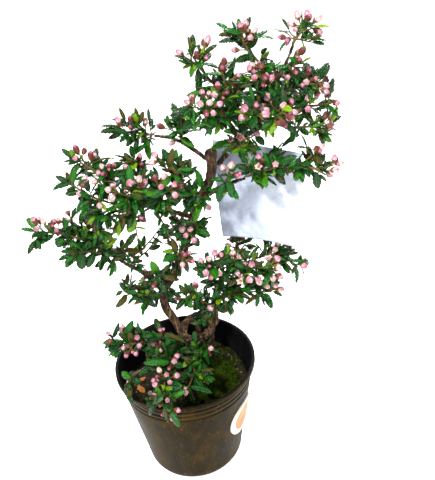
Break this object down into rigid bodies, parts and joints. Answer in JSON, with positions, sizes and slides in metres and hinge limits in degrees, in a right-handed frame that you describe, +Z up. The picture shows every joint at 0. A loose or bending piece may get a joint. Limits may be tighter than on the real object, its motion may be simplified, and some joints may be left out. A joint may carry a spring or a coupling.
{
  "type": "potted flowering bonsai",
  "caption": "Small twiggy bonsai with wrinkled toothed leaves and pink buds, on a looped trunk, in a soft round nursery pot with soil, moss and a blank paper label.",
  "frame": {"origin": "centre of the pot's flat base, on the surface it stands on", "axes": "+Z up the plant, -Y towards its front, +X to the right seen from the front"},
  "size_m": [0.1747, 0.1003, 0.2863],
  "materials": {
    "pot_plastic": "soft olive-brown nursery plastic, satin",
    "sticker_vinyl": "round white sticker with a plain orange spot",
    "soil": "dark crumbly potting mix, damp",
    "moss": "soft green moss",
    "bark_chip": "orange-brown bark chip",
    "pellet": "pale slow-release pellet",
    "bark": "rough brown bark",
    "paper": "plain white paper, slightly creased",
    "foliage": "dark green wrinkled leaves, pink and white buds, thin brown twigs"
  },
  "bodies": {
    "root": {"pot": "pot_plastic", "sticker": "sticker_vinyl", "soil": "soil", "moss": "moss", "bark_chip_left": "bark_chip", "bark_chip_front": "bark_chip", "fertiliser_pellet": "pellet", "trunk": "bark", "label": "paper", "crown_top_right": "foliage", "crown_top_left": "foliage", "crown_left_top": "foliage", "crown_left_mid": "foliage", "crown_left_front": "foliage", "crown_front": "foliage", "crown_right_front": "foliage", "crown_middle": "foliage", "crown_right_top": "foliage", "crown_right": "foliage", "crown_right_low": "foliage", "crown_hanging": "foliage", "crown_under": "foliage", "crown_back_left": "foliage", "crown_back_right": "foliage", "crown_back": "foliage", "right_arm": "foliage", "right_arm_inner": "foliage", "upper_left": "foliage", "upper_left_inner": "foliage", "centre_twig": "foliage", "left_mid_tip": "foliage", "left_mid_up": "foliage", "left_mid_front": "foliage", "left_mid_top": "foliage", "left_mid_inner": "foliage", "left_mid_under": "foliage", "low_left_tip": "foliage", "low_left_mid": "foliage", "low_left_under": "foliage", "low_left_inner": "foliage", "low_front_left": "foliage", "trunk_front": "foliage", "trunk_front_low": "foliage", "trunk_middle": "foliage", "trunk_upper": "foliage", "trunk_back": "foliage", "trunk_back_left": "foliage", "left_back": "foliage", "right_low_twig": "foliage", "right_low_upper": "foliage", "right_low_front": "foliage", "right_low_inner": "foliage", "right_low_dark": "foliage", "right_back": "foliage", "low_twig": "foliage", "loop_tuft": "foliage", "basal_left": "foliage", "basal_upright": "foliage", "basal_front": "foliage", "basal_right": "foliage"}
  },
  "joints": []
}
